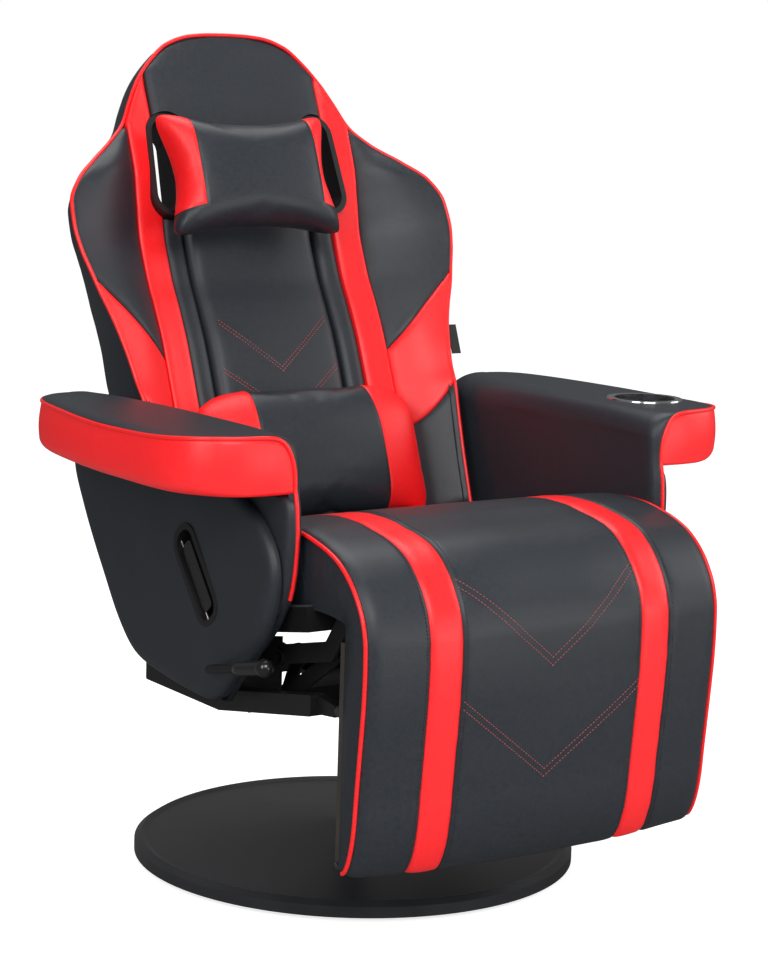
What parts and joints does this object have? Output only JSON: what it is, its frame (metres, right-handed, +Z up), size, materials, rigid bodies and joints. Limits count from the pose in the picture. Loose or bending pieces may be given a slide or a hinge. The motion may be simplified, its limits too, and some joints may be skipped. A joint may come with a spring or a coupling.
{
  "type": "gaming recliner",
  "caption": "Swivel recliner with a round base, padded armrests, cup holder, winged reclining backrest, pillows and a leg rest that swings up on linked arms.",
  "frame": {"origin": "where the swivel axis meets the floor", "axes": "+Z up; the chair faces -Y; +X is to the sitter's left"},
  "size_m": [0.828, 0.8442, 1.0695],
  "materials": {
    "black_leather": "satin black synthetic leather with a fine grain",
    "red_leather": "satin red synthetic leather with a fine grain",
    "painted_steel": "satin black powder coat",
    "zinc_steel": "bright zinc plate",
    "black_plastic": "fine matt texture",
    "gloss_black_plastic": "smooth gloss",
    "bright_rim": "polished",
    "rubber": "matt",
    "webbing": "woven elastic",
    "plywood": "plain plywood under black lining",
    "tag_cloth": "woven, blank"
  },
  "bodies": {
    "base": {"base_cover": "painted_steel", "base_plate": "painted_steel", "floor_glides": "rubber", "swivel_post": "painted_steel", "flange_bolts": "zinc_steel", "thrust_washer": "black_plastic", "swivel_bolt": "zinc_steel"},
    "chassis": {"arm_core_left": "black_leather", "arm_core_right": "black_leather", "arm_panel_left": "black_leather", "arm_panel_right": "black_leather", "armband_left": "red_leather", "armband_right": "red_leather", "armrest_left": "black_leather", "armrest_right": "black_leather", "back_pins": "zinc_steel", "cross_tubes": "painted_steel", "cup_holder": "bright_rim", "handle_bezel": "black_plastic", "paddle_pin": "zinc_steel", "seat_cushion": "black_leather", "seat_ears": "painted_steel", "seat_rail_front": "painted_steel", "seat_rail_left": "painted_steel", "seat_rail_rear": "painted_steel", "seat_rail_right": "painted_steel", "seat_webbing": "webbing", "side_plate_left": "painted_steel", "side_plate_right": "painted_steel", "side_rail_left": "painted_steel", "side_rail_right": "painted_steel", "stop_bars": "painted_steel", "stop_bumpers": "rubber", "swivel_hub": "painted_steel"},
    "footrest": {"knee_cover": "black_leather", "leg_pad": "black_leather", "leg_board": "plywood", "footrest_bracket_left": "painted_steel", "footrest_bracket_right": "painted_steel", "footrest_pins": "zinc_steel"},
    "lift_shaft": {"torque_tube": "painted_steel"},
    "lift_links": {"coupling_link_left": "painted_steel", "coupling_link_right": "painted_steel", "link_pins": "zinc_steel"},
    "backrest": {"back_shell": "black_leather", "back_frame": "painted_steel", "centre_pad": "black_leather", "head_pad": "black_leather", "back_wing_left": "black_leather", "back_wing_right": "black_leather", "back_strip_left": "red_leather", "back_strip_right": "red_leather", "slot_rims": "black_plastic", "head_pillow": "black_leather", "lumbar_pillow": "black_leather", "side_tag": "tag_cloth", "back_brackets": "painted_steel"},
    "release_paddle": {"release_paddle": "gloss_black_plastic"},
    "recline_lever": {"lever_rod": "painted_steel", "lever_grip": "gloss_black_plastic"}
  },
  "joints": [
    {"name": "swivel", "type": "hinge", "parent": "base", "child": "chassis", "pos_m": [0, 0, 0.21], "axis": [0, 0, 1], "continuous": true},
    {"name": "footrest_lift", "type": "hinge", "parent": "chassis", "child": "footrest", "pos_m": [0, -0.345, 0.438], "axis": [-1, 0, 0], "range_deg": [0, 80], "deforming": ["knee_cover"]},
    {"name": "shaft_turn", "type": "hinge", "parent": "chassis", "child": "lift_shaft", "pos_m": [0, -0.18, 0.327], "axis": [-1, 0, 0], "range_deg": [0, 80]},
    {"name": "link_turn", "type": "hinge", "parent": "lift_shaft", "child": "lift_links", "pos_m": [0, -0.15, 0.262], "axis": [-1, 0, 0], "range_deg": [-80, 0]},
    {"name": "recline", "type": "hinge", "parent": "chassis", "child": "backrest", "pos_m": [0, 0.145, 0.393], "axis": [-1, 0, 0], "range_deg": [0, 35]},
    {"name": "paddle_pull", "type": "hinge", "parent": "chassis", "child": "release_paddle", "pos_m": [-0.297, -0.08034, 0.40856], "axis": [0, 0.6293, 0.7771], "range_deg": [0, 18], "stiffness_Nm_per_rad": 0.3, "springref_deg": -5.73},
    {"name": "lever_lift", "type": "hinge", "parent": "chassis", "child": "recline_lever", "pos_m": [-0.31, -0.153, 0.315], "axis": [-1, 0, 0], "range_deg": [0, 25], "stiffness_Nm_per_rad": 0.8, "springref_deg": -17.19}
  ],
  "couplings": [
    {"joint": "shaft_turn", "follows": "footrest_lift", "ratio": 1},
    {"joint": "link_turn", "follows": "footrest_lift", "ratio": -1}
  ]
}
